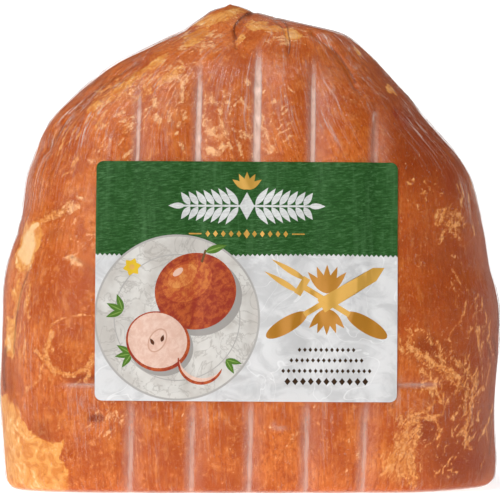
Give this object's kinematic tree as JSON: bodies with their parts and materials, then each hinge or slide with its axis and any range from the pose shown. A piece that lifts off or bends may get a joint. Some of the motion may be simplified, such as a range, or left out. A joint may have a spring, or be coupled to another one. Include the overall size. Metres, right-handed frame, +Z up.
{
  "type": "vacuum-packed half ham",
  "caption": "Boneless smoked half ham sealed tight in clear film, standing on its flat cut face, pressed by rack bars, with a printed paper label on the front.",
  "frame": {"origin": "on the surface that the ham stands on, under the middle of its bounding box", "axes": "+Z up, +X to the right as seen from the front, -Y towards the label's side, so +Y runs through the ham from front to back"},
  "size_m": [0.2046, 0.1166, 0.1985],
  "materials": {
    "ham_in_film": "smoked ham under tight clear film, glossy with fine folds",
    "label": "printed paper label with a satin face"
  },
  "bodies": {
    "root": {"ham_in_film": "ham_in_film", "label": "label"}
  },
  "joints": []
}
